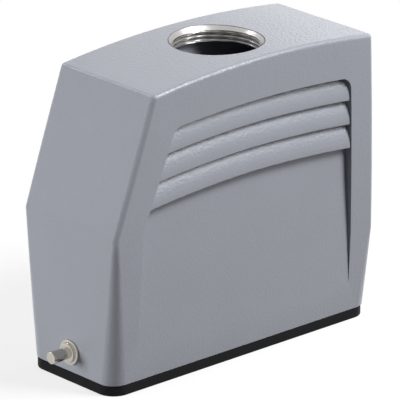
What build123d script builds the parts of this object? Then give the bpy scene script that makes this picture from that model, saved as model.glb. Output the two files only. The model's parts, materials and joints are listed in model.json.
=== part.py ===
from build123d import *
from math import atan2, degrees, sqrt
import os

# Cable side of a heavy duty rectangular connector with 24 poles and earth.
# A die-cast hood with a sloping end stands on its rubber seal. It carries a locking
# peg at each end and a screw-terminal contact insert inside, and its cable entry is
# a threaded hole in the arched top.
#
# Millimetres. X runs along the hood towards its upright end, Y across it, Z up.
# The origin is the middle of the mating rim, on the plane that the seal presses on.

# Contacts
columns = 12
contact_pitch = 7.5
row_spacing = 15.0
pin_radius = 1.25
pin_tip_z = 3.0
terminal_length = 5.2
terminal_width = 6.0
terminal_height = 11.0
terminal_floor_z = 24.0
wire_hole_width = 3.2
wire_hole_depth = 8.0
terminal_fit = 0.2
pin_fit = 0.1

# Terminal screws, one in the outer side of each terminal
terminal_screw_radius = 2.0
terminal_screw_inset = 0.8
terminal_screw_z = 29.5
terminal_slot_width = 0.6
terminal_slot_depth = 0.8

# Insert body
block_end_wall = 2.0
block_side_wall = 4.8
block_top_z = 39.0
block_corner_radius = 1.2
flange_z = 16.0
flange_thickness = 2.2
flange_corner_radius = 1.5
pedestal_height = 2.0
pedestal_margin = 2.4
insert_clearance = 0.5

# Fixing screws of the insert, and the posts in the hood that take them
screw_radius = 2.0
screw_fit = 0.1
screw_head_radius = 3.6
screw_head_height = 2.6
screw_engagement = 8.0
screw_slot_width = 1.1
screw_slot_depth = 1.3
post_half_width = 4.2
post_inner_radius = 3.0
post_block_gap = 0.8
post_to_end_wall = 4.5
post_to_side_wall = 4.0
thread_runout = 2.0

# Earth plates, one at each end of the insert
earth_plate_thickness = 0.8
earth_blade_thickness = 1.0
earth_blade_width = 12.0
earth_blade_tip_z = 2.6
earth_clamp_gap = 0.2
earth_clamp_thickness = 1.2
earth_screw_length = 4.0

# Hood walls
block_to_side_wall = 2.0
end_wall = 3.5
rim_width = 4.0
top_wall = 3.6
cavity_corner_radius = 3.0
cavity_draft = 0.25

# Hood outside
gasket_height = 3.6
base_corner_radius = 6.5
foot_chamfer = 0.4
edge_radius = 1.9
top_edge_radius = 1.65
crease_z = 57.5
slope_run = 17.2
kink_z = 33.3
kink_run = 0.45
lean_run = 2.2
shoulder_z = 105.0
arch_rise = 3.35
belly_drop = 13.4
belly_bulge = 2.8
sections_per_band = 2

# Cable entry
thread_minor_radius = 15.2
entry_chamfer_radius = 16.8
entry_collar_height = 5.6
entry_collar_wall = 3.6
entry_x = 6.9

# Louvred recess in each broad side
recess_depth = 3.0
recess_corner_radius = 4.6
recess_drop = 11.6
recess_arch_radius = 440.0
recess_arch_x = 5.2
recess_foot_margin = 10.8
recess_knee_margin = 12.4
recess_slope_margin = 14.3
recess_right_margin = 11.0
recess_run_out_z = 14.0
rib_count = 3
rib_pitch = 8.67
rib_lip_depth = 0.65
rib_lip_round = 0.5
rib_bow = 0.7

# Seal
seal_tongue_width = 1.4
seal_tongue_height = 1.5
seal_tongue_fit = 0.1

# Locking pegs
peg_z = 11.1
peg_flange_radius = 4.5
peg_flange_thickness = 0.9
peg_collar_radius = 3.6
peg_collar_length = 1.1
peg_radius = 2.1
peg_reach = 9.0
peg_shank_radius = 3.0
peg_tip_chamfer = 0.3
peg_fit = 0.02

# Lengths and widths that follow from the contacts
block_length = columns * contact_pitch + 2 * block_end_wall
block_width = row_spacing + terminal_width + 2 * (terminal_fit + block_side_wall)
cavity_width = block_width + 2 * block_to_side_wall
screw_x = block_length / 2 + post_block_gap + post_half_width
screw_y = cavity_width / 2 - post_to_side_wall
cavity_length = 2 * (screw_x + post_to_end_wall)
base_length = cavity_length + 2 * end_wall
base_width = cavity_width + 2 * rim_width
flange_length = cavity_length - 2 * (insert_clearance + earth_blade_thickness)
flange_width = cavity_width - 2 * insert_clearance

# Heights that follow
flange_top_z = flange_z + flange_thickness
seat_z = flange_top_z + earth_plate_thickness
crown_z = shoulder_z + arch_rise
belly_z = shoulder_z - belly_drop
recess_top_z = shoulder_z - recess_drop
collar_z = crown_z - entry_collar_height
above_crown = 3.0

# The arch of the top
slope = slope_run / (shoulder_z - crease_z)
lean = lean_run / (shoulder_z - kink_z)
shoulder_left = -base_length / 2 + slope_run
shoulder_right = base_length / 2 + kink_run - lean_run
arch_x = (shoulder_left + shoulder_right) / 2
arch_half_chord = (shoulder_right - shoulder_left) / 2
arch_radius = (arch_half_chord ** 2 + arch_rise ** 2) / (2 * arch_rise)
belly_radius = (belly_z ** 2 + belly_bulge ** 2) / (2 * belly_bulge)

# The arch of the ribs
recess_arch_z = recess_top_z - recess_arch_radius
lowest_lip_z = recess_top_z - rib_count * rib_pitch

quarter_turn = 90


def blend(z, low_z, high_z, low_value, high_value):
    """Straight-line value between two heights, held level beyond them."""
    share = min(max((z - low_z) / (high_z - low_z), 0), 1)
    return low_value + share * (high_value - low_value)


def left_end(z):
    """Where the sloping end's face stands at a height."""
    return -base_length / 2 + slope * max(z - crease_z, 0)


def right_end(z):
    """Where the upright end's face stands at a height."""
    foot = base_length / 2 + blend(z, 0, kink_z, 0, kink_run)
    return foot - lean * max(z - kink_z, 0)


def half_width(z):
    """Half the distance over the bowed broad sides at a height."""
    fall = belly_radius - sqrt(belly_radius ** 2 - (z - belly_z) ** 2)
    return base_width / 2 + belly_bulge - fall


def rounded_outline(left, right, half, left_radius, right_radius):
    """Four-sided face whose left and right corners have their own radii."""
    corners = [
        (right - right_radius, half - right_radius, right_radius),
        (left + left_radius, half - left_radius, left_radius),
        (left + left_radius, left_radius - half, left_radius),
        (right - right_radius, right_radius - half, right_radius),
    ]
    arcs = []
    for index, (x, y, radius) in enumerate(corners):
        arcs.append(CenterArc((x, y), radius, index * quarter_turn, quarter_turn))
    lines = [Line(arcs[index] @ 1, arcs[(index + 1) % 4] @ 0) for index in range(4)]
    return make_face(Curve() + arcs + lines)


def hood_section(z):
    """Outline of the hood at a height, rounder at the foot and chamfered at its edge."""
    inset = blend(z, gasket_height, gasket_height + foot_chamfer, foot_chamfer, 0)
    left_radius = blend(z, 0, crease_z, base_corner_radius, edge_radius) - inset
    right_radius = blend(z, 0, kink_z, base_corner_radius, edge_radius) - inset
    half = half_width(z) - inset
    face = rounded_outline(left_end(z) + inset, right_end(z) - inset, half, left_radius, right_radius)
    return Pos(0, 0, z) * face


def section_heights():
    """Heights of the hood's sections, closer than the bow of its sides would show."""
    stops = [gasket_height + foot_chamfer, kink_z, crease_z, shoulder_z - above_crown, crown_z + above_crown]
    heights = [gasket_height, stops[0]]
    for low, high in zip(stops[:-2], stops[1:-1]):
        for step in range(1, sections_per_band + 1):
            heights.append(low + (high - low) * step / sections_per_band)
    heights.append(stops[-1])
    return heights


def across(radius, length, x, z):
    """Cylinder lying across the hood, along Y."""
    return Pos(x, 0, z) * Rot(quarter_turn, 0, 0) * Cylinder(radius, length)


def hood_outside():
    """Solid outer form: lofted sides under an arched top, with rounded edges."""
    sections = [hood_section(z) for z in section_heights()]
    sides = loft(sections, ruled=True)
    body = sides & across(arch_radius, 2 * base_width, arch_x, crown_z - arch_radius)
    top = body.faces().sort_by(Axis.Z)[-1]
    return fillet(top.edges(), top_edge_radius)


def side_view(drop):
    """Side view of the hood's outside, reaching below the rim by a drop."""
    left = -base_length / 2
    outline = Polyline(
        (shoulder_left, shoulder_z),
        (left, crease_z),
        (left, -drop),
        (base_length / 2, -drop),
        (base_length / 2, 0),
        (right_end(kink_z), kink_z),
        (shoulder_right, shoulder_z),
    )
    arch = ThreePointArc(outline @ 0, (arch_x, crown_z), outline @ 1)
    return make_face(Curve() + outline + arch)


def corner_places():
    """The four fixing places, with the signs of their corner."""
    return [(sx, sy) for sx in (-1, 1) for sy in (-1, 1)]


def hood_cavity():
    """Cored-out inside, with a post left standing in each corner for a screw."""
    view = offset(side_view(2 * end_wall), -end_wall, kind=Kind.INTERSECTION)
    profile = extrude(Plane.XZ * view, cavity_width, both=True)
    ceiling = across(arch_radius - top_wall, 2 * base_width, arch_x, crown_z - arch_radius)
    plan = Pos(0, 0, -end_wall) * RectangleRounded(cavity_length, cavity_width, cavity_corner_radius)
    core = extrude(plan, crown_z + end_wall, taper=cavity_draft)
    cavity = core & profile & ceiling
    for sx, sy in corner_places():
        cavity -= corner_post(sx, sy)
    return cavity


def corner_post(sx, sy):
    """Column that fills one corner of the cavity from the seat upwards."""
    reach = post_half_width + 2 * post_to_end_wall
    plan = RectangleRounded(reach, reach, post_inner_radius)
    x = screw_x - post_half_width + reach / 2
    y = screw_y - post_half_width + reach / 2
    return Pos(sx * x, sy * y, seat_z) * extrude(plan, crown_z)


def recess_outline():
    """Side view of a recess: slanted and upright ends under an arched top."""
    foot_z = recess_run_out_z - recess_depth
    left_foot = left_end(foot_z) + recess_foot_margin
    left_knee = left_end(crease_z) + recess_knee_margin
    left_top = left_end(recess_top_z) + recess_slope_margin
    right_top = right_end(recess_top_z) - recess_right_margin
    right_foot = right_end(kink_z) - recess_right_margin
    top_z = recess_top_z + recess_depth
    sides = Polyline(
        (left_top, top_z),
        (left_top, recess_top_z),
        (left_knee, crease_z),
        (left_foot, foot_z),
        (right_foot, foot_z),
        (right_foot, kink_z),
        (right_top, top_z),
        close=True,
    )
    under_arch = Pos(recess_arch_x, recess_arch_z) * Circle(recess_arch_radius)
    face = make_face(sides) & under_arch
    corners = face.vertices().sort_by(Axis.Y)[-2:]
    return fillet(corners, recess_corner_radius)


def rib_cut():
    """Space in front of the ribs: one arched louvre face below the other."""
    clear = half_width(belly_z) + recess_depth
    top_radius = recess_arch_radius
    face_y = half_width(recess_top_z - rib_count * rib_pitch / 2)
    floor_y = face_y - recess_depth
    lip_y = face_y - rib_lip_depth
    round_y = lip_y - rib_lip_round
    edges = [Line((clear, top_radius), (floor_y, top_radius))]
    for index in range(rib_count):
        rib_top = top_radius - index * rib_pitch
        rib_foot = rib_top - rib_pitch
        round_z = rib_foot + rib_lip_round
        middle = ((floor_y + lip_y) / 2 + rib_bow, (rib_top + round_z) / 2)
        edges.append(ThreePointArc((floor_y, rib_top), middle, (lip_y, round_z)))
        edges.append(CenterArc((round_y, round_z), rib_lip_round, 0, -quarter_turn))
        if index < rib_count - 1:
            edges.append(Line((round_y, rib_foot), (floor_y, rib_foot)))
    foot_radius = top_radius - rib_count * rib_pitch
    edges.append(Line((round_y, foot_radius), (clear, foot_radius)))
    edges.append(Line((clear, foot_radius), (clear, top_radius)))
    profile = Plane.YZ * make_face(Curve() + edges)
    half_sweep = degrees(atan2(base_length, recess_arch_radius))
    ring = revolve(Rot(0, -half_sweep, 0) * profile, Axis.Y, 2 * half_sweep)
    return Pos(recess_arch_x, 0, recess_arch_z) * ring


def panel_cut():
    """Wedge of space in front of the flat panel, which runs out near the foot."""
    clear = half_width(belly_z) + recess_depth
    top_y = half_width(lowest_lip_z) - recess_depth
    foot_y = half_width(recess_run_out_z)
    profile = Polyline(
        (clear, recess_run_out_z),
        (foot_y, recess_run_out_z),
        (top_y, lowest_lip_z),
        (clear, lowest_lip_z),
        close=True,
    )
    wedge = extrude(Plane.YZ * make_face(profile), base_length, both=True)
    below_lip = across(recess_arch_radius - rib_count * rib_pitch, 4 * base_width, recess_arch_x, recess_arch_z)
    return wedge & below_lip


def recess_cut():
    """Everything that is cut away at one broad side, the one towards +Y."""
    window = extrude(Plane.XZ * recess_outline(), -base_width)
    return window & (rib_cut() + panel_cut())


def cable_entry_cut():
    """Tapping bore of the cable entry with its lead-in chamfer."""
    bore = Pos(entry_x, 0, crown_z) * Cylinder(thread_minor_radius, 4 * entry_collar_height)
    lead = entry_chamfer_radius - thread_minor_radius
    chamfer = Cone(thread_minor_radius, entry_chamfer_radius + above_crown, lead + above_crown)
    return bore + Pos(entry_x, 0, crown_z - lead + (lead + above_crown) / 2) * chamfer


def ring_band(width, height):
    """Ring that follows the middle of the rim."""
    centre_length = (base_length + cavity_length) / 2
    centre_width = (base_width + cavity_width) / 2
    radius = (base_corner_radius + cavity_corner_radius) / 2
    outer = RectangleRounded(centre_length + width, centre_width + width, radius + width / 2)
    inner = RectangleRounded(centre_length - width, centre_width - width, radius - width / 2)
    return extrude(outer - inner, height)


def hood_shell():
    """The die-cast hood, one piece with its collar, posts and ribs."""
    outside = hood_outside()
    collar = Cylinder(thread_minor_radius + entry_collar_wall, entry_collar_height)
    collar = Pos(entry_x, 0, collar_z + entry_collar_height / 2) * collar
    body = outside - hood_cavity() + (collar & outside)
    cut = recess_cut()
    body -= cut
    body -= mirror(cut, Plane.XZ)
    body -= cable_entry_cut()
    body -= Pos(0, 0, gasket_height) * ring_band(seal_tongue_width + 2 * seal_tongue_fit, seal_tongue_height)
    for side in (-1, 1):
        hole = Rot(0, quarter_turn, 0) * Cylinder(peg_shank_radius + peg_fit, 4 * end_wall)
        body -= Pos(side * base_length / 2, 0, peg_z) * hole
    depth = screw_engagement + thread_runout
    for sx, sy in corner_places():
        hole = Cylinder(screw_radius + screw_fit / 2, 2 * depth)
        body -= Pos(sx * screw_x, sy * screw_y, seat_z) * hole
    return body


def peg_foot(side):
    """Where a peg's flange sits on its end wall, clear of the wall's lean."""
    highest_z = peg_z + peg_flange_radius
    return right_end(highest_z) if side > 0 else -left_end(highest_z)


def locking_peg(side):
    """Turned steel peg that the locking lever hooks over."""
    reach = base_length / 2 + peg_reach - peg_foot(side)
    profile = Polyline(
        (-end_wall, 0),
        (-end_wall, peg_shank_radius),
        (0, peg_shank_radius),
        (0, peg_flange_radius),
        (peg_flange_thickness, peg_flange_radius),
        (peg_flange_thickness, peg_collar_radius),
        (peg_flange_thickness + peg_collar_length, peg_collar_radius),
        (peg_flange_thickness + peg_collar_length, peg_radius),
        (reach - peg_tip_chamfer, peg_radius),
        (reach, peg_radius - peg_tip_chamfer),
        (reach, 0),
        close=True,
    )
    peg = revolve(make_face(profile), Axis.X)
    facing = 0 if side > 0 else 2 * quarter_turn
    return Pos(side * peg_foot(side), 0, peg_z) * Rot(0, 0, facing) * peg


def flange_gasket():
    """Rubber seal under the rim, keyed into the rim's groove by a tongue."""
    outer = rounded_outline(-base_length / 2, base_length / 2, base_width / 2, base_corner_radius, base_corner_radius)
    inner = RectangleRounded(cavity_length, cavity_width, cavity_corner_radius)
    tongue = Pos(0, 0, gasket_height) * ring_band(seal_tongue_width, seal_tongue_height)
    return extrude(outer - inner, gasket_height) + tongue


def contact_places():
    """Place of each contact, row by row."""
    places = []
    for side in (-1, 1):
        for column in range(columns):
            x = (column - (columns - 1) / 2) * contact_pitch
            places.append((x, side * row_spacing / 2, side))
    return places


def along_y(radius, start, end, side):
    """Cylinder along Y between two distances from the middle, on one side."""
    length = end - start
    return Pos(0, side * (start + end) / 2, 0) * Rot(quarter_turn, 0, 0) * Cylinder(radius, length)


def terminal_chamber(side):
    """Space for one contact: pin hole, terminal pocket and the notch for its screw."""
    pin_width = 2 * (pin_radius + pin_fit)
    pin_hole = Pos(0, 0, terminal_floor_z / 2) * Box(pin_width, pin_width, terminal_floor_z + pin_fit)
    pocket = Box(
        terminal_length + 2 * terminal_fit,
        terminal_width + 2 * terminal_fit,
        2 * (block_top_z - terminal_floor_z),
    )
    notch_width = 2 * (terminal_screw_radius + terminal_fit)
    notch_height = block_top_z - terminal_screw_z + notch_width / 2
    notch = Box(notch_width, block_width / 2, 2 * notch_height)
    return pin_hole + Pos(0, 0, block_top_z) * pocket + Pos(0, side * block_width / 4, block_top_z) * notch


def insert_body():
    """Moulded contact carrier: terminal block, fixing flange and mating face."""
    block_height = block_top_z - flange_z
    block = extrude(RectangleRounded(block_length, block_width, block_corner_radius), block_height)
    body = Pos(0, 0, flange_z) * block
    flange = extrude(RectangleRounded(flange_length, flange_width, flange_corner_radius), flange_thickness)
    body += Pos(0, 0, flange_z) * flange
    face_length = (columns - 1) * contact_pitch + 2 * (pin_radius + pedestal_margin)
    face_width = row_spacing + 2 * (pin_radius + pedestal_margin)
    pedestal = extrude(RectangleRounded(face_length, face_width, pedestal_margin), pedestal_height)
    body += Pos(0, 0, flange_z - pedestal_height) * pedestal
    chambers = [Pos(x, y, 0) * terminal_chamber(side) for x, y, side in contact_places()]
    body -= chambers
    for sx, sy in corner_places():
        body -= Pos(sx * screw_x, sy * screw_y, flange_z) * Cylinder(screw_radius + screw_fit, flange_z)
    for side in (-1, 1):
        body -= Pos(side * screw_x, 0, flange_z) * Cylinder(screw_radius + screw_fit / 2, flange_z)
    return body


def contact_pin(x, y, side):
    """Turned pin and the block that its wire is clamped in, with the clamping screw."""
    pin_length = terminal_floor_z - pin_tip_z
    pin = Pos(0, 0, pin_tip_z + pin_length / 2) * Cylinder(pin_radius, pin_length)
    block = Box(terminal_length, terminal_width, terminal_height)
    block = Pos(0, 0, terminal_floor_z + terminal_height / 2) * block
    top_z = terminal_floor_z + terminal_height
    wire_hole = Pos(0, 0, top_z) * Box(wire_hole_width, wire_hole_width, 2 * wire_hole_depth)
    screw_end = (block_width - row_spacing) / 2 - terminal_screw_inset
    screw = Pos(0, 0, terminal_screw_z) * along_y(terminal_screw_radius, 0, screw_end, side)
    slot = Box(2 * terminal_screw_radius, 2 * terminal_slot_depth, terminal_slot_width)
    slot = Pos(0, side * screw_end, terminal_screw_z) * slot
    return Pos(x, y, 0) * (pin + block + screw - wire_hole - slot)


def slotted_screw(head_radius, head_height, radius, length, slot_width, slot_depth):
    """Screw along +Z with its head below the origin plane, slotted underneath."""
    head = Pos(0, 0, -head_height / 2) * Cylinder(head_radius, head_height)
    shank = Pos(0, 0, length / 2) * Cylinder(radius, length)
    slot = Pos(0, 0, -head_height) * Box(2 * head_radius, slot_width, 2 * slot_depth)
    return head + shank - slot


def insert_screws():
    """The four screws that hold the insert to the hood's posts."""
    length = seat_z - flange_z + screw_engagement
    screw = slotted_screw(
        screw_head_radius,
        screw_head_height,
        screw_radius,
        length,
        screw_slot_width,
        screw_slot_depth,
    )
    return [Pos(sx * screw_x, sy * screw_y, flange_z) * screw for sx, sy in corner_places()]


def earth_plate(side):
    """Bent plate under two posts, slotted for their screws, with the leading earth blade."""
    inner_x = block_length / 2 + insert_clearance
    outer_x = flange_length / 2 + earth_blade_thickness
    length = outer_x - inner_x
    plate = Box(length, flange_width, earth_plate_thickness)
    outer_corners = plate.edges().filter_by(Axis.Z).sort_by(Axis.X)[-2:]
    plate = fillet(outer_corners, cavity_corner_radius - insert_clearance)
    plate = Pos((inner_x + outer_x) / 2, 0, flange_top_z + earth_plate_thickness / 2) * plate
    blade_height = flange_top_z - earth_blade_tip_z
    blade = Box(earth_blade_thickness, earth_blade_width, blade_height)
    plate += Pos(outer_x - earth_blade_thickness / 2, 0, earth_blade_tip_z + blade_height / 2) * blade
    slot_width = 2 * (screw_radius + screw_fit)
    slot = Box(slot_width, flange_width, flange_z, align=(Align.CENTER, Align.MIN, Align.CENTER))
    slot = Pos(screw_x, screw_y - slot_width / 2, flange_top_z) * slot
    plate -= slot
    plate -= mirror(slot, Plane.XZ)
    plate -= Pos(screw_x, 0, flange_top_z) * Cylinder(screw_radius + screw_fit / 2, flange_z)
    return plate if side > 0 else mirror(plate, Plane.YZ)


def earth_clamps():
    """Square washers that press the earth wires to their plates."""
    size = 2 * (post_half_width - earth_clamp_gap)
    clamp = Box(size, size, earth_clamp_thickness) - Cylinder(screw_radius + screw_fit, size)
    z = seat_z + earth_clamp_thickness / 2
    return [Pos(side * screw_x, 0, z) * clamp for side in (-1, 1)]


def earth_screws():
    """Screws of the two earth clamps, driven from the wiring side."""
    screw = slotted_screw(
        screw_head_radius,
        screw_head_height,
        screw_radius,
        earth_screw_length,
        screw_slot_width,
        screw_slot_depth,
    )
    z = seat_z + earth_clamp_thickness
    turned = Rot(2 * quarter_turn, 0, 0) * screw
    return [Pos(side * screw_x, 0, z) * turned for side in (-1, 1)]


def save(name, solids):
    """Write one sub-part to its own file."""
    shape = Compound(children=solids) if isinstance(solids, list) else solids
    export_step(shape, f"parts/{name}.step")


def main():
    os.makedirs("parts", exist_ok=True)
    save("hood_shell", hood_shell())
    save("locking_peg_left", locking_peg(-1))
    save("locking_peg_right", locking_peg(1))
    save("flange_gasket", flange_gasket())
    save("insert_body", insert_body())
    for number, (x, y, side) in enumerate(contact_places(), start=1):
        save(f"contact_pin_{number:02d}", contact_pin(x, y, side))
    save("insert_screws", insert_screws())
    save("earth_plate_left", earth_plate(-1))
    save("earth_plate_right", earth_plate(1))
    save("earth_clamps", earth_clamps())
    save("earth_screws", earth_screws())


main()
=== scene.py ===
import json
import math

import bmesh
import bpy
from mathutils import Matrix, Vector

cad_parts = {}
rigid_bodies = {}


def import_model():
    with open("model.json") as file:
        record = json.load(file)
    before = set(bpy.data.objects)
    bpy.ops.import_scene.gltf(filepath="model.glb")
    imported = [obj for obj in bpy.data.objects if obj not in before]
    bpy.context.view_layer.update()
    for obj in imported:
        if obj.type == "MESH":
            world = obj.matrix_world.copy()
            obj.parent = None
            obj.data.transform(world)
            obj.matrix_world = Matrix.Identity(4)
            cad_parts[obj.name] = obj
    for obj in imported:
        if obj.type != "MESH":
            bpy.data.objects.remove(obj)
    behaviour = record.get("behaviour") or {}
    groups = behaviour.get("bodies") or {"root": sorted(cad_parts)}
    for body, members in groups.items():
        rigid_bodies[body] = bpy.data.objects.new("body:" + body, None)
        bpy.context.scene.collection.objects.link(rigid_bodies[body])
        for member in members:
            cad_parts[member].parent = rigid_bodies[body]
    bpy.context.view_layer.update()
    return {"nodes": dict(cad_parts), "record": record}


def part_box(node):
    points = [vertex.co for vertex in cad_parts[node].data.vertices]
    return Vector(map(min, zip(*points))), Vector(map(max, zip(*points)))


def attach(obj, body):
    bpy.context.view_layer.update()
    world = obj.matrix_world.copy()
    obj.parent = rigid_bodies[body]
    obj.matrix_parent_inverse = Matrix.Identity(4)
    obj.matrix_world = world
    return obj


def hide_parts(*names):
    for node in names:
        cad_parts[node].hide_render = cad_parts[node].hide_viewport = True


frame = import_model()

bl_info = {
    "name": "Rectangular Connector Hood",
    "version": (1, 0, 0),
    "blender": (4, 5, 0),
    "location": "View3D > Sidebar > Connector",
    "description": "Dresses the die-cast hood, thread, seal, pegs and insert for a picture",
    "category": "Object",
}

MM = 0.001
BODY = "root"
UP = (0.0, 0.0, 1.0)
ALONG = (1.0, 0.0, 0.0)


# Places on the hood

def mount_named(name):
    """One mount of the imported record."""
    for mount in frame["record"]["mounts"]:
        if mount["name"] == name:
            return mount
    raise RuntimeError(f"the record has no mount {name}")


ENTRY = mount_named("cable_entry")
ENTRY_X = ENTRY["pos_m"][0]
ENTRY_MID_Z = ENTRY["pos_m"][2]
BORE_RADIUS = ENTRY["dims"]["r_mm"] * MM
BORE_LENGTH = ENTRY["dims"]["length_mm"] * MM
SEAL_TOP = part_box("hood_shell")[0][2]
PEG_SEAT = 0.3 * MM

# The recesses' outer edges lie further out than the first value, between the next two
# heights, and are rounded by the last
RECESS_OUT = 19 * MM
RECESS_LOW = 15.5 * MM
RECESS_HIGH = 96 * MM
RECESS_EDGE = 0.5 * MM

# How exactly places are matched, and what counts as one point
MERGE = 0.002 * MM
SLIVER = 0.01 * MM
LEVEL = 0.01 * MM
NEAR = 0.03 * MM

# How far two faces turn at an edge that is rounded, in degrees
RECESS_TURN = 35
PEG_TURN = 50
SEAL_TURN = 60
TIP_TURN = 57

# Faces that turn less than this are merged into one before the recesses are rounded
FLAT_TURN = 0.2

# The mesh of the thread
THREAD_COLUMNS = 144
THREAD_ROWS = 48
THREAD_SEAM = 0.12 * MM

# Angles within which a surface is shaded as one, in degrees
CAST_SMOOTH = 28
TURNED_SMOOTH = 30

# Drift of the roughness to each side, and spread of a metal's tone
COAT_DRIFT = 0.05
METAL_DRIFT = 0.08


# Sizes and colours

class ThreadSizes(bpy.types.PropertyGroup):
    """Sizes of the tapped cable entry."""

    pitch: bpy.props.FloatProperty(
        name="Pitch",
        description="Rise of one turn",
        default=1.5 * MM,
        unit="LENGTH",
    )
    major_radius: bpy.props.FloatProperty(
        name="Root radius",
        description="Radius at the bottom of the groove",
        default=16.0 * MM,
        unit="LENGTH",
    )
    crest_flat: bpy.props.FloatProperty(
        name="Crest flat",
        description="Share of a turn that stays flat at the crest",
        default=0.14,
        subtype="FACTOR",
    )
    root_flat: bpy.props.FloatProperty(
        name="Root flat",
        description="Share of a turn that stays flat at the root",
        default=0.125,
        subtype="FACTOR",
    )
    run_out: bpy.props.FloatProperty(
        name="Run-out",
        description="Length over which the groove fades at its ends",
        default=0.25 * MM,
        unit="LENGTH",
    )
    chamfer_radius: bpy.props.FloatProperty(
        name="Chamfer radius",
        description="Outer radius of the bare lead-in",
        default=16.8 * MM,
        unit="LENGTH",
    )
    line_width: bpy.props.FloatProperty(
        name="Line width",
        description="Width of the groove round the bare lead-in",
        default=0.4 * MM,
        unit="LENGTH",
    )
    line_depth: bpy.props.FloatProperty(
        name="Line depth",
        description="Depth of the groove round the bare lead-in",
        default=0.5 * MM,
        unit="LENGTH",
    )


class EdgeSizes(bpy.types.PropertyGroup):
    """How far the roundings of the pegs, the seal and the contacts reach."""

    peg: bpy.props.FloatProperty(
        name="Peg edge",
        description="Rounding of the edges of a peg",
        default=0.22 * MM,
        unit="LENGTH",
    )
    seal: bpy.props.FloatProperty(
        name="Seal edge",
        description="Rounding of the edges of the seal",
        default=0.3 * MM,
        unit="LENGTH",
    )
    tip: bpy.props.FloatProperty(
        name="Tip rounding",
        description="Rounding of a contact's tip",
        default=0.7 * MM,
        unit="LENGTH",
    )


class CoatFinish(bpy.types.PropertyGroup):
    """Colour and relief of the powder coat."""

    colour: bpy.props.FloatVectorProperty(
        name="Colour",
        description="Middle grey of the coat",
        subtype="COLOR",
        size=3,
        default=(0.300, 0.316, 0.356),
    )
    mottle: bpy.props.FloatProperty(
        name="Mottle",
        description="How far the coat's tone drifts",
        default=0.05,
        subtype="FACTOR",
    )
    roughness: bpy.props.FloatProperty(
        name="Roughness",
        description="Mean roughness of the coat",
        default=0.31,
        subtype="FACTOR",
    )
    sheen: bpy.props.FloatProperty(
        name="Sheen",
        description="Share of light the coat mirrors, against plain paint",
        default=0.5,
        subtype="FACTOR",
    )
    peel_height: bpy.props.FloatProperty(
        name="Peel height",
        description="Height of the orange peel",
        default=0.06 * MM,
        unit="LENGTH",
    )
    upright: bpy.props.FloatProperty(
        name="Upright peel",
        description="Share of the peel left on upright faces",
        default=0.35,
        subtype="FACTOR",
    )
    peel_scale: bpy.props.FloatProperty(
        name="Peel scale",
        description="Orange peel bumps in a metre",
        default=1000.0,
    )


class PieceColours(bpy.types.PropertyGroup):
    """Colours of the bare metals, the rubber and the plastic."""

    tapped: bpy.props.FloatVectorProperty(
        name="Tapped metal",
        description="Bare aluminium of the cable entry",
        subtype="COLOR",
        size=3,
        default=(0.45, 0.44, 0.43),
    )
    nickel: bpy.props.FloatVectorProperty(
        name="Nickel",
        description="Plating of the pegs",
        subtype="COLOR",
        size=3,
        default=(0.54, 0.515, 0.465),
    )
    silver: bpy.props.FloatVectorProperty(
        name="Silver",
        description="Plating of the contacts",
        subtype="COLOR",
        size=3,
        default=(0.82, 0.80, 0.76),
    )
    zinc: bpy.props.FloatVectorProperty(
        name="Zinc",
        description="Plating of the screws, clamps and earth plates",
        subtype="COLOR",
        size=3,
        default=(0.62, 0.63, 0.62),
    )
    rubber: bpy.props.FloatVectorProperty(
        name="Rubber",
        description="Black of the seal",
        subtype="COLOR",
        size=3,
        default=(0.010, 0.010, 0.011),
    )
    plastic: bpy.props.FloatVectorProperty(
        name="Plastic",
        description="Dark grey of the contact carrier",
        subtype="COLOR",
        size=3,
        default=(0.03, 0.031, 0.034),
    )


class StudioSetup(bpy.types.PropertyGroup):
    """Camera, sky and floor of the studio."""

    azimuth: bpy.props.FloatProperty(
        name="Azimuth",
        description="Camera angle round the hood",
        default=math.radians(-41.96),
        subtype="ANGLE",
    )
    elevation: bpy.props.FloatProperty(
        name="Elevation",
        description="Camera angle above the floor",
        default=math.radians(20.03),
        subtype="ANGLE",
    )
    distance: bpy.props.FloatProperty(
        name="Distance",
        description="From the camera to its target",
        default=1.6266,
        unit="LENGTH",
    )
    target: bpy.props.FloatVectorProperty(
        name="Target",
        description="Point the camera looks at",
        size=3,
        default=(-0.00064, 0.0, 0.05164),
        subtype="XYZ",
    )
    lens: bpy.props.FloatProperty(
        name="Lens",
        description="Focal length on a 36 mm sensor",
        default=423.9,
        unit="CAMERA",
    )
    sky: bpy.props.FloatProperty(
        name="Sky",
        description="Level of the even light from all round",
        default=0.05,
    )
    veil: bpy.props.FloatProperty(
        name="Veil",
        description="Share of plain white over the floor's shadow at the hood",
        default=0.78,
        subtype="FACTOR",
    )
    veil_start: bpy.props.FloatProperty(
        name="Veil start",
        description="Distance from the middle at which the shadow begins to fade out",
        default=0.08,
        unit="LENGTH",
    )
    veil_end: bpy.props.FloatProperty(
        name="Veil end",
        description="Distance from the middle at which the floor is plain white",
        default=0.20,
        unit="LENGTH",
    )


# Shader helpers

def add_node(tree, kind, place, **inputs):
    """A node with some of its unlinked inputs set by name."""
    node = tree.nodes.new(kind)
    node.location = place
    for name, value in inputs.items():
        node.inputs[name.replace("_", " ")].default_value = value
    return node


def group_socket(tree, name, direction, kind="NodeSocketFloat", default=None):
    """A named input or output of a node group."""
    socket = tree.interface.new_socket(name=name, in_out=direction, socket_type=kind)
    if default is not None:
        socket.default_value = default
    return socket


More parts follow.
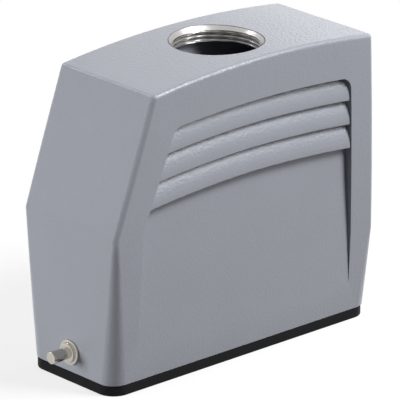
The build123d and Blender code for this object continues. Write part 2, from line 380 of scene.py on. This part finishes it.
def peel_group():
    """Shared effect: fine peel, calmer on upright faces, and a slow drift, in Object space."""
    name = "Peel And Drift"
    if name in bpy.data.node_groups:
        return bpy.data.node_groups[name]
    tree = bpy.data.node_groups.new(name, "ShaderNodeTree")
    group_socket(tree, "Peel Scale", "INPUT", default=600.0)
    group_socket(tree, "Drift Scale", "INPUT", default=40.0)
    group_socket(tree, "Upright Share", "INPUT", default=1.0)
    group_socket(tree, "Height", "OUTPUT")
    group_socket(tree, "Drift", "OUTPUT")
    given = tree.nodes.new("NodeGroupInput")
    given.location = (-700, 0)
    result = tree.nodes.new("NodeGroupOutput")
    result.location = (500, 0)
    place = add_node(tree, "ShaderNodeTexCoord", (-700, 250))
    peel = add_node(tree, "ShaderNodeTexNoise", (-350, 200), Detail=2.0, Roughness=0.45)
    drift = add_node(tree, "ShaderNodeTexNoise", (-350, -100), Detail=3.0, Roughness=0.6)
    soften = add_node(tree, "ShaderNodeMapRange", (0, 200), From_Min=0.3, From_Max=0.7)
    soften.interpolation_type = "SMOOTHSTEP"
    lean = add_node(tree, "ShaderNodeSeparateXYZ", (-350, 500))
    share = add_node(
        tree, "ShaderNodeMapRange", (-100, 450), From_Min=0.12, From_Max=0.32, To_Max=1.0
    )
    share.interpolation_type = "SMOOTHSTEP"
    calm = add_node(tree, "ShaderNodeMath", (250, 250))
    calm.operation = "MULTIPLY"
    links = tree.links
    links.new(place.outputs["Normal"], lean.inputs["Vector"])
    links.new(lean.outputs["Z"], share.inputs["Value"])
    links.new(given.outputs["Upright Share"], share.inputs["To Min"])
    links.new(soften.outputs["Result"], calm.inputs[0])
    links.new(share.outputs["Result"], calm.inputs[1])
    links.new(place.outputs["Object"], peel.inputs["Vector"])
    links.new(place.outputs["Object"], drift.inputs["Vector"])
    links.new(given.outputs["Peel Scale"], peel.inputs["Scale"])
    links.new(given.outputs["Drift Scale"], drift.inputs["Scale"])
    links.new(peel.outputs["Fac"], soften.inputs["Value"])
    links.new(calm.outputs["Value"], result.inputs["Height"])
    links.new(drift.outputs["Fac"], result.inputs["Drift"])
    return tree


def tooling_group():
    """Shared effect: fine rings left by turning round a named axis, with faint scuffs."""
    name = "Turning Rings"
    if name in bpy.data.node_groups:
        return bpy.data.node_groups[name]
    tree = bpy.data.node_groups.new(name, "ShaderNodeTree")
    group_socket(tree, "Axis", "INPUT", "NodeSocketVector", ALONG)
    group_socket(tree, "Ring Scale", "INPUT", default=900.0)
    group_socket(tree, "Scuff Scale", "INPUT", default=300.0)
    group_socket(tree, "Height", "OUTPUT")
    group_socket(tree, "Scuff", "OUTPUT")
    given = tree.nodes.new("NodeGroupInput")
    given.location = (-700, 0)
    result = tree.nodes.new("NodeGroupOutput")
    result.location = (500, 0)
    place = add_node(tree, "ShaderNodeTexCoord", (-700, 250))
    rings = add_node(tree, "ShaderNodeTexWave", (-350, 200), Distortion=0.6, Detail=2.0)
    rings.bands_direction = "X"
    along = add_node(tree, "ShaderNodeVectorMath", (-550, 350))
    along.operation = "DOT_PRODUCT"
    strip = add_node(tree, "ShaderNodeCombineXYZ", (-450, 250))
    scuff = add_node(tree, "ShaderNodeTexNoise", (-350, -100), Detail=4.0, Roughness=0.7)
    links = tree.links
    links.new(place.outputs["Object"], along.inputs[0])
    links.new(given.outputs["Axis"], along.inputs[1])
    links.new(along.outputs["Value"], strip.inputs["X"])
    links.new(strip.outputs["Vector"], rings.inputs["Vector"])
    links.new(place.outputs["Object"], scuff.inputs["Vector"])
    links.new(given.outputs["Ring Scale"], rings.inputs["Scale"])
    links.new(given.outputs["Scuff Scale"], scuff.inputs["Scale"])
    links.new(rings.outputs["Fac"], result.inputs["Height"])
    links.new(scuff.outputs["Fac"], result.inputs["Scuff"])
    return tree


def principled_material(name):
    """Empty Principled material and its shader."""
    material = bpy.data.materials.new(name)
    material.use_nodes = True
    tree = material.node_tree
    tree.nodes.clear()
    output = add_node(tree, "ShaderNodeOutputMaterial", (700, 0))
    shader = add_node(tree, "ShaderNodeBsdfPrincipled", (350, 0))
    tree.links.new(shader.outputs["BSDF"], output.inputs["Surface"])
    return material, shader


def drift_colour(tree, factor, colour, spread, target):
    """Base colour that moves a little to each side of one colour."""
    blend = add_node(tree, "ShaderNodeMix", (0, 150))
    blend.data_type = "RGBA"
    blend.inputs["A"].default_value = (*[c * (1 - spread) for c in colour], 1)
    blend.inputs["B"].default_value = (*[c * (1 + spread) for c in colour], 1)
    tree.links.new(factor, blend.inputs["Factor"])
    tree.links.new(blend.outputs["Result"], target)


def drift_value(tree, factor, low, high, target):
    """A value that drifts between two levels."""
    level = add_node(tree, "ShaderNodeMapRange", (0, -150), To_Min=low, To_Max=high)
    tree.links.new(factor, level.inputs["Value"])
    tree.links.new(level.outputs["Result"], target)


def relief(tree, height, distance, shader):
    """Bump of a known height."""
    bump = add_node(tree, "ShaderNodeBump", (0, -400), Strength=1.0, Distance=distance)
    tree.links.new(height, bump.inputs["Height"])
    tree.links.new(bump.outputs["Normal"], shader.inputs["Normal"])


def peeled_material(
    name, colour, spread, rough, peel_scale, peel_height, sheen, upright=1.0
):
    """Painted or moulded surface with a fine peel and a drift of tone."""
    material, shader = principled_material(name)
    tree = material.node_tree
    effect = add_node(tree, "ShaderNodeGroup", (-350, 0))
    effect.node_tree = peel_group()
    effect.inputs["Peel Scale"].default_value = peel_scale
    effect.inputs["Upright Share"].default_value = upright
    shader.inputs["Specular IOR Level"].default_value = sheen
    drift = effect.outputs["Drift"]
    drift_colour(tree, drift, colour, spread, shader.inputs["Base Color"])
    drift_value(tree, drift, rough - COAT_DRIFT, rough + COAT_DRIFT, shader.inputs["Roughness"])
    relief(tree, effect.outputs["Height"], peel_height, shader)
    return material


def turned_material(name, colour, rough, ring_scale, ring_height, axis):
    """Plated or bare metal with fine rings left by turning."""
    material, shader = principled_material(name)
    tree = material.node_tree
    effect = add_node(tree, "ShaderNodeGroup", (-350, 0))
    effect.node_tree = tooling_group()
    effect.inputs["Axis"].default_value = axis
    effect.inputs["Ring Scale"].default_value = ring_scale
    shader.inputs["Metallic"].default_value = 1.0
    scuff = effect.outputs["Scuff"]
    drift_colour(tree, scuff, colour, METAL_DRIFT, shader.inputs["Base Color"])
    drift_value(tree, scuff, rough - METAL_DRIFT, rough + METAL_DRIFT, shader.inputs["Roughness"])
    relief(tree, effect.outputs["Height"], ring_height, shader)
    return material


# Mesh helpers

def select_only(*objects):
    """Leave these objects selected, the first one active."""
    bpy.ops.object.select_all(action="DESELECT")
    for item in objects:
        item.select_set(True)
    bpy.context.view_layer.objects.active = objects[0]


def copy_of_node(node, name):
    """A merged copy of a frame node, ready to be edited."""
    source = frame["nodes"][node]
    piece = bpy.data.objects.new(name, source.data.copy())
    bpy.context.scene.collection.objects.link(piece)
    piece.data.materials.clear()
    select_only(piece)
    bpy.ops.mesh.customdata_custom_splitnormals_clear()
    bpy.ops.object.mode_set(mode="EDIT")
    bpy.ops.mesh.select_all(action="SELECT")
    bpy.ops.mesh.remove_doubles(threshold=MERGE)
    bpy.ops.object.mode_set(mode="OBJECT")
    return piece


def pick(piece, mode, test):
    """In edit mode, select the faces, edges or vertices that pass a test."""
    bpy.ops.mesh.select_mode(type=mode)
    bpy.ops.mesh.select_all(action="DESELECT")
    mesh = bmesh.from_edit_mesh(piece.data)
    elements = {"FACE": mesh.faces, "EDGE": mesh.edges, "VERT": mesh.verts}[mode]
    count = 0
    for element in elements:
        if test(element):
            element.select_set(True)
            count += 1
    mesh.select_flush_mode()
    bmesh.update_edit_mesh(piece.data)
    return count


def is_sharp(edge, degrees):
    """An outer edge whose faces turn by more than an angle."""
    return edge.is_convex and edge.calc_face_angle(0) > math.radians(degrees)


def round_edges(piece, test, reach, segments):
    """In edit mode, round the edges that pass a test."""
    if not pick(piece, "EDGE", test):
        raise RuntimeError(f"the edges to round on {piece.name} were not found")
    bpy.ops.mesh.bevel(
        offset=reach, segments=segments, profile=0.5, affect="EDGES", clamp_overlap=True
    )


def rounded_copy(node, name, test, reach, segments):
    """A copy of a frame node, with the edges that pass a test rounded."""
    piece = copy_of_node(node, name)
    bpy.ops.object.mode_set(mode="EDIT")
    round_edges(piece, test, reach, segments)
    bpy.ops.object.mode_set(mode="OBJECT")
    return piece


def from_entry(point):
    """Distance of a point from the axis of the cable entry."""
    return math.hypot(point.x - ENTRY_X, point.y)


def finish_shading(piece, angle):
    """Smooth within an angle, with flat faces kept flat."""
    select_only(piece)
    bpy.ops.object.shade_smooth_by_angle(angle=math.radians(angle))
    even = piece.modifiers.new("Even", "WEIGHTED_NORMAL")
    even.keep_sharp = True
    bpy.ops.object.modifier_apply(modifier=even.name)


# Hood

def groove_depth(turn, sizes):
    """How deep the groove is, from 0 to 1, at a share of one turn."""
    share = turn % 1.0
    ramp = (1.0 - sizes.crest_flat - sizes.root_flat) / 2
    if share < sizes.crest_flat:
        return 0.0
    if share < sizes.crest_flat + ramp:
        return (share - sizes.crest_flat) / ramp
    if share < sizes.crest_flat + ramp + sizes.root_flat:
        return 1.0
    return (1.0 - share) / ramp


def thread_wall(sizes):
    """Tube with the groove of the thread cut outwards, facing the axis."""
    low = ENTRY_MID_Z - BORE_LENGTH / 2 + THREAD_SEAM
    high = ENTRY_MID_Z + BORE_LENGTH / 2 - THREAD_SEAM
    bpy.ops.object.select_all(action="DESELECT")
    bpy.ops.mesh.primitive_circle_add(
        vertices=THREAD_COLUMNS, radius=BORE_RADIUS, location=(ENTRY_X, 0, low)
    )
    wall = bpy.context.active_object
    wall.name = "thread_wall"
    bpy.ops.object.transform_apply(location=True, rotation=True, scale=True)
    bpy.ops.object.mode_set(mode="EDIT")
    bpy.ops.mesh.select_mode(type="VERT")
    bpy.ops.mesh.select_all(action="SELECT")
    rise = (0, 0, (high - low) / THREAD_ROWS)
    for _ in range(THREAD_ROWS):
        bpy.ops.mesh.extrude_region_move(TRANSFORM_OT_translate={"value": rise})
    mesh = bmesh.from_edit_mesh(wall.data)
    for vertex in mesh.verts:
        above = vertex.co.z - low
        below = high - vertex.co.z
        angle = math.atan2(vertex.co.y, vertex.co.x - ENTRY_X)
        turn = above / sizes.pitch - angle / math.tau
        fade = min(above / sizes.run_out, below / sizes.run_out, 1.0)
        depth = sizes.major_radius - BORE_RADIUS
        depth *= groove_depth(turn, sizes) * max(fade, 0.0)
        vertex.co.x = ENTRY_X + (BORE_RADIUS + depth) * math.cos(angle)
        vertex.co.y = (BORE_RADIUS + depth) * math.sin(angle)
    bmesh.update_edit_mesh(wall.data)
    bpy.ops.object.mode_set(mode="OBJECT")
    return wall, low, high


def break_recess_edges(piece):
    """Round the sharp outer edges of the two recesses, as a casting has them."""
    bpy.ops.mesh.select_mode(type="FACE")
    bpy.ops.mesh.select_all(action="SELECT")
    bpy.ops.mesh.dissolve_limited(angle_limit=math.radians(FLAT_TURN))

    def outer_edge(edge):
        middle = (edge.verts[0].co + edge.verts[1].co) / 2
        at_recess = abs(middle.y) > RECESS_OUT and RECESS_LOW < middle.z < RECESS_HIGH
        return at_recess and is_sharp(edge, RECESS_TURN)

    round_edges(piece, outer_edge, RECESS_EDGE, 3)
    bpy.ops.mesh.select_mode(type="VERT")
    bpy.ops.mesh.select_all(action="SELECT")
    bpy.ops.mesh.remove_doubles(threshold=SLIVER)
    bpy.ops.mesh.dissolve_degenerate(threshold=SLIVER)


def part_line(piece, sizes):
    """Cut the fine groove where the machined lead-in ends and the coat begins."""
    beyond_bore = BORE_RADIUS + 1 * MM
    select_only(piece)
    bpy.ops.object.mode_set(mode="EDIT")

    def between(edge):
        meets_both = len({face.material_index for face in edge.link_faces}) == 2
        return meets_both and all(from_entry(v.co) > beyond_bore for v in edge.verts)

    if not pick(piece, "EDGE", between):
        raise RuntimeError("the edge of the bare lead-in was not found")
    bpy.ops.mesh.bevel(offset=sizes.line_width / 2, segments=1, affect="EDGES", material=0)
    bpy.ops.mesh.select_mode(type="FACE")
    sink = (0, 0, -sizes.line_depth)
    bpy.ops.mesh.extrude_region_move(TRANSFORM_OT_translate={"value": sink})
    bpy.ops.object.mode_set(mode="OBJECT")


class CONNECTOR_OT_hood(bpy.types.Operator):
    """Cast hood with its powder coat and its bare, tapped cable entry"""

    bl_idname = "connector.hood"
    bl_label = "Hood"

    def execute(self, context):
        scene = context.scene
        sizes = scene.connector_thread
        piece = copy_of_node("hood_shell", "hood_casting")
        bottom = ENTRY_MID_Z - BORE_LENGTH / 2
        top = ENTRY_MID_Z + BORE_LENGTH / 2

        def on_bore(face):
            return all(
                abs(from_entry(v.co) - BORE_RADIUS) < NEAR
                and bottom - NEAR < v.co.z < top + NEAR
                for v in face.verts
            )

        bpy.ops.object.mode_set(mode="EDIT")
        if not pick(piece, "FACE", on_bore):
            raise RuntimeError("the bore of the cable entry was not found")
        bpy.ops.mesh.delete(type="FACE")
        break_recess_edges(piece)
        bpy.ops.object.mode_set(mode="OBJECT")
        wall, low, high = thread_wall(sizes)
        select_only(piece, wall)
        bpy.ops.object.join()
        bpy.ops.object.mode_set(mode="EDIT")
        for rim, wall_end in ((bottom, low), (top, high)):

            def at_seam(edge):
                return edge.is_boundary and all(
                    from_entry(v.co) < BORE_RADIUS + NEAR
                    and (abs(v.co.z - rim) < NEAR or abs(v.co.z - wall_end) < NEAR)
                    for v in edge.verts
                )

            if not pick(piece, "EDGE", at_seam):
                raise RuntimeError("the seam between the hood and its thread was not found")
            bpy.ops.mesh.bridge_edge_loops()
        bpy.ops.mesh.select_mode(type="FACE")
        bpy.ops.mesh.select_all(action="SELECT")
        bpy.ops.mesh.normals_make_consistent(inside=False)
        bpy.ops.object.mode_set(mode="OBJECT")
        piece.data.materials.append(coat_material(scene.connector_coat))
        piece.data.materials.append(tapped_material(scene.connector_colours))
        bare = sizes.chamfer_radius + NEAR
        for face in piece.data.polygons:
            points = [piece.data.vertices[i].co for i in face.vertices]
            inside = all(from_entry(p) < bare and p.z > bottom - NEAR for p in points)
            face.material_index = 1 if inside else 0
        part_line(piece, sizes)
        finish_shading(piece, CAST_SMOOTH)
        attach(piece, BODY)
        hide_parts("hood_shell")
        return {"FINISHED"}


def coat_material(finish):
    """Light grey powder coat with a fine orange peel."""
    return peeled_material(
        "powder_coat_grey",
        finish.colour,
        spread=finish.mottle,
        rough=finish.roughness,
        peel_scale=finish.peel_scale,
        peel_height=finish.peel_height,
        sheen=finish.sheen,
        upright=finish.upright,
    )


def tapped_material(colours):
    """Bare die-cast aluminium where the entry was machined."""
    return turned_material(
        "tapped_aluminium",
        colours.tapped,
        rough=0.31,
        ring_scale=500.0,
        ring_height=0.001 * MM,
        axis=UP,
    )


# Other pieces

def dress(nodes, material):
    """Give frame nodes their finish."""
    for name in nodes:
        node = frame["nodes"][name]
        node.data.materials.clear()
        node.data.materials.append(material)


class CONNECTOR_OT_pegs(bpy.types.Operator):
    """Turned, nickel plated locking pegs"""

    bl_idname = "connector.pegs"
    bl_label = "Locking pegs"

    def execute(self, context):
        scene = context.scene
        nickel = turned_material(
            "nickel_plate",
            scene.connector_colours.nickel,
            rough=0.15,
            ring_scale=1400.0,
            ring_height=0.005 * MM,
            axis=ALONG,
        )
        hood_low, hood_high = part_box("hood_shell")
        seat = max(abs(hood_low[0]), abs(hood_high[0])) + PEG_SEAT

        def open_edge(edge):
            return all(abs(v.co.x) > seat for v in edge.verts) and is_sharp(edge, PEG_TURN)

        reach = scene.connector_edges.peg
        for side in ("left", "right"):
            peg = rounded_copy(f"locking_peg_{side}", f"peg_{side}", open_edge, reach, 2)
            peg.data.materials.append(nickel)
            finish_shading(peg, TURNED_SMOOTH)
            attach(peg, BODY)
            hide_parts(f"locking_peg_{side}")
        return {"FINISHED"}


class CONNECTOR_OT_seal(bpy.types.Operator):
    """Moulded rubber seal under the rim"""

    bl_idname = "connector.seal"
    bl_label = "Seal"

    def execute(self, context):
        scene = context.scene
        rubber = peeled_material(
            "seal_rubber_black",
            scene.connector_colours.rubber,
            spread=0.2,
            rough=0.6,
            peel_scale=1500.0,
            peel_height=0.02 * MM,
            sheen=0.08,
        )
        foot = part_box("flange_gasket")[0][2]

        def rim_edge(edge):
            first, second = [v.co.z for v in edge.verts]
            flat = abs(first - second) < LEVEL
            on_body = abs(first - foot) < LEVEL or abs(first - SEAL_TOP) < LEVEL
            return flat and on_body and is_sharp(edge, SEAL_TURN)

        seal = rounded_copy("flange_gasket", "seal", rim_edge, scene.connector_edges.seal, 2)
        seal.data.materials.append(rubber)
        finish_shading(seal, TURNED_SMOOTH)
        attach(seal, BODY)
        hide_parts("flange_gasket")
        return {"FINISHED"}


class CONNECTOR_OT_contacts(bpy.types.Operator):
    """Silver plated contacts, each with a rounded pin tip"""

    bl_idname = "connector.contacts"
    bl_label = "Contacts"

    def execute(self, context):
        scene = context.scene
        silver = turned_material(
            "silver_plate",
            scene.connector_colours.silver,
            rough=0.25,
            ring_scale=1200.0,
            ring_height=0.004 * MM,
            axis=UP,
        )
        for node in [name for name in frame["nodes"] if name.startswith("contact_pin_")]:
            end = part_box(node)[0][2] + LEVEL

            def tip_edge(edge):
                return all(v.co.z < end for v in edge.verts) and is_sharp(edge, TIP_TURN)

            name = node.replace("contact_pin", "contact")
            pin = rounded_copy(node, name, tip_edge, scene.connector_edges.tip, 4)
            pin.data.materials.append(silver)
            finish_shading(pin, TURNED_SMOOTH)
            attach(pin, BODY)
            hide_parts(node)
        return {"FINISHED"}


class CONNECTOR_OT_insert(bpy.types.Operator):
    """Contact carrier with its fixing screws and earth plates"""

    bl_idname = "connector.insert"
    bl_label = "Insert"

    def execute(self, context):
        colours = context.scene.connector_colours
        plastic = peeled_material(
            "insert_plastic_dark",
            colours.plastic,
            spread=0.15,
            rough=0.5,
            peel_scale=900.0,
            peel_height=0.03 * MM,
            sheen=0.3,
        )
        zinc = turned_material(
            "zinc_plate",
            colours.zinc,
            rough=0.3,
            ring_scale=1000.0,
            ring_height=0.006 * MM,
            axis=UP,
        )
        metal = [n for n in frame["nodes"] if "screws" in n or n.startswith("earth_")]
        dress(["insert_body"], plastic)
        dress(metal, zinc)
        return {"FINISHED"}


# Studio

# Each lamp's name, place and size in metres, power in watts, and whether gloss shows it
LAMPS = (
    ("lamp_front", (0.48, -0.74, 1.07), 0.5, 19.3, True),
    ("lamp_low", (0.62, -1.02, 0.58), 0.4, 3.4, True),
    ("lamp_right", (1.05, 0.05, 0.40), 0.6, 6.5, False),
    ("lamp_left", (-1.15, 0.68, 0.22), 0.5, 17.8, False),
    ("lamp_back", (-0.42, 0.92, 0.85), 0.12, 1.5, True),
    ("lamp_far", (1.02, 0.78, 0.36), 0.35, 0.4, True),
)
LAMP_AIM = (0.0, 0.0, 0.055)
SENSOR_WIDTH = 36.0
FLOOR_RADIUS = 2.5
FLOOR_SIDES = 96
FLOOR_LIT = (0.07, 0.07, 0.07, 1)
FLOOR_SEEN = (0.9, 0.9, 0.9, 1)
WHITE = (1, 1, 1, 1)


def soft_lamp(name, place, size, power, mirrored):
    """Square soft lamp that looks at the hood, with or without its own highlights."""
    bpy.ops.object.select_all(action="DESELECT")
    bpy.ops.object.light_add(type="AREA", location=place)
    lamp = bpy.context.active_object
    lamp.name = name
    lamp.data.shape = "SQUARE"
    lamp.data.size = size
    lamp.visible_glossy = mirrored
    lamp.data.energy = power
    lamp.rotation_mode = "QUATERNION"
    lamp.rotation_quaternion = (Vector(LAMP_AIM) - Vector(place)).to_track_quat("-Z", "Y")


def floor_material(setup):
    """Floor that looks white, with a soft shadow near the hood, and bounces little light."""
    material = bpy.data.materials.new("studio_floor")
    material.use_nodes = True
    tree = material.node_tree
    tree.nodes.clear()
    output = add_node(tree, "ShaderNodeOutputMaterial", (700, 0))
    blend = add_node(tree, "ShaderNodeMixShader", (450, 0))
    lit = add_node(tree, "ShaderNodeBsdfDiffuse", (150, -100))
    tone = add_node(tree, "ShaderNodeMix", (-50, -100))
    tone.data_type = "RGBA"
    tone.inputs["A"].default_value = FLOOR_LIT
    tone.inputs["B"].default_value = FLOOR_SEEN
    white = add_node(tree, "ShaderNodeEmission", (150, 150), Color=WHITE, Strength=1.0)
    path = add_node(tree, "ShaderNodeLightPath", (-500, 300))
    place = add_node(tree, "ShaderNodeTexCoord", (-700, 0))
    away = add_node(tree, "ShaderNodeVectorMath", (-500, 0))
    away.operation = "LENGTH"
    fade = add_node(
        tree,
        "ShaderNodeMapRange",
        (-300, 0),
        From_Min=setup.veil_start,
        From_Max=setup.veil_end,
        To_Min=setup.veil,
        To_Max=1.0,
    )
    fade.interpolation_type = "SMOOTHSTEP"
    gate = add_node(tree, "ShaderNodeMath", (-50, 200))
    gate.operation = "MULTIPLY"
    seen = add_node(tree, "ShaderNodeMath", (-300, 300))
    seen.operation = "MAXIMUM"
    links = tree.links
    links.new(path.outputs["Is Camera Ray"], seen.inputs[0])
    links.new(path.outputs["Is Glossy Ray"], seen.inputs[1])
    links.new(seen.outputs["Value"], tone.inputs["Factor"])
    links.new(tone.outputs["Result"], lit.inputs["Color"])
    links.new(place.outputs["Object"], away.inputs[0])
    links.new(away.outputs["Value"], fade.inputs["Value"])
    links.new(fade.outputs["Result"], gate.inputs[0])
    links.new(seen.outputs["Value"], gate.inputs[1])
    links.new(gate.outputs["Value"], blend.inputs["Fac"])
    links.new(lit.outputs["BSDF"], blend.inputs[1])
    links.new(white.outputs["Emission"], blend.inputs[2])
    links.new(blend.outputs["Shader"], output.inputs["Surface"])
    return material


def studio_world(level):
    """Even light all round that looks white to the camera and in reflections."""
    world = bpy.data.worlds.new("studio_sky")
    bpy.context.scene.world = world
    world.use_nodes = True
    tree = world.node_tree
    tree.nodes.clear()
    output = add_node(tree, "ShaderNodeOutputWorld", (600, 0))
    even = add_node(tree, "ShaderNodeBackground", (100, -100), Color=WHITE, Strength=level)
    white = add_node(tree, "ShaderNodeBackground", (100, 100), Color=WHITE, Strength=1.0)
    blend = add_node(tree, "ShaderNodeMixShader", (350, 0))
    path = add_node(tree, "ShaderNodeLightPath", (-600, 0))
    either = add_node(tree, "ShaderNodeMath", (-350, 100))
    either.operation = "MAXIMUM"
    seen = add_node(tree, "ShaderNodeMath", (-150, 100))
    seen.operation = "MAXIMUM"
    links = tree.links
    links.new(path.outputs["Is Camera Ray"], either.inputs[0])
    links.new(path.outputs["Is Glossy Ray"], either.inputs[1])
    links.new(either.outputs["Value"], seen.inputs[0])
    links.new(path.outputs["Is Transmission Ray"], seen.inputs[1])
    links.new(seen.outputs["Value"], blend.inputs["Fac"])
    links.new(even.outputs["Background"], blend.inputs[1])
    links.new(white.outputs["Background"], blend.inputs[2])
    links.new(blend.outputs["Shader"], output.inputs["Surface"])


def studio_camera(setup):
    """Camera at the photograph's angle."""
    bpy.ops.object.select_all(action="DESELECT")
    bpy.ops.object.camera_add()
    camera = bpy.context.active_object
    camera.name = "studio_camera"
    back = Vector((
        math.sin(setup.azimuth) * math.cos(setup.elevation),
        -math.cos(setup.azimuth) * math.cos(setup.elevation),
        math.sin(setup.elevation),
    ))
    camera.location = Vector(setup.target) + back * setup.distance
    camera.rotation_mode = "QUATERNION"
    camera.rotation_quaternion = (-back).to_track_quat("-Z", "Y")
    camera.data.sensor_width = SENSOR_WIDTH
    camera.data.lens = setup.lens
    camera.data.clip_start = 0.05
    camera.data.clip_end = 50.0
    bpy.context.scene.camera = camera


class CONNECTOR_OT_studio(bpy.types.Operator):
    """Floor, sky, lamps and camera"""

    bl_idname = "connector.studio"
    bl_label = "Studio"

    def execute(self, context):
        setup = context.scene.connector_studio
        bpy.ops.object.select_all(action="DESELECT")
        bpy.ops.mesh.primitive_circle_add(
            vertices=FLOOR_SIDES, radius=FLOOR_RADIUS, fill_type="NGON", location=(0, 0, 0)
        )
        floor = bpy.context.active_object
        floor.name = "studio_floor"
        floor.data.materials.append(floor_material(setup))
        studio_world(setup.sky)
        for lamp in LAMPS:
            soft_lamp(*lamp)
        studio_camera(setup)
        context.scene.view_settings.view_transform = "Standard"
        return {"FINISHED"}


# Add-on

class CONNECTOR_PT_panel(bpy.types.Panel):
    """The connector's pieces and studio in the sidebar"""

    bl_idname = "CONNECTOR_PT_panel"
    bl_label = "Connector"
    bl_space_type = "VIEW_3D"
    bl_region_type = "UI"
    bl_category = "Connector"

    def draw(self, context):
        scene = context.scene
        groups = (
            scene.connector_thread,
            scene.connector_edges,
            scene.connector_coat,
            scene.connector_colours,
            scene.connector_studio,
        )
        for group in groups:
            for name in group.__annotations__:
                self.layout.prop(group, name)
        for step in STEPS:
            self.layout.operator(step.bl_idname)


STEPS = (
    CONNECTOR_OT_hood,
    CONNECTOR_OT_pegs,
    CONNECTOR_OT_seal,
    CONNECTOR_OT_contacts,
    CONNECTOR_OT_insert,
    CONNECTOR_OT_studio,
)
CLASSES = (
    ThreadSizes,
    EdgeSizes,
    CoatFinish,
    PieceColours,
    StudioSetup,
    *STEPS,
    CONNECTOR_PT_panel,
)


def register():
    for item in CLASSES:
        bpy.utils.register_class(item)
    bpy.types.Scene.connector_thread = bpy.props.PointerProperty(type=ThreadSizes)
    bpy.types.Scene.connector_edges = bpy.props.PointerProperty(type=EdgeSizes)
    bpy.types.Scene.connector_coat = bpy.props.PointerProperty(type=CoatFinish)
    bpy.types.Scene.connector_colours = bpy.props.PointerProperty(type=PieceColours)
    bpy.types.Scene.connector_studio = bpy.props.PointerProperty(type=StudioSetup)


def unregister():
    del bpy.types.Scene.connector_studio
    del bpy.types.Scene.connector_colours
    del bpy.types.Scene.connector_coat
    del bpy.types.Scene.connector_edges
    del bpy.types.Scene.connector_thread
    for item in reversed(CLASSES):
        bpy.utils.unregister_class(item)


def main():
    register()
    for name in list(bpy.data.objects.keys()):
        if name in ("Cube", "Camera", "Light"):
            bpy.data.objects.remove(bpy.data.objects[name])
    bpy.ops.connector.hood()
    bpy.ops.connector.pegs()
    bpy.ops.connector.seal()
    bpy.ops.connector.contacts()
    bpy.ops.connector.insert()
    bpy.ops.connector.studio()


if __name__ == "__main__":
    main()
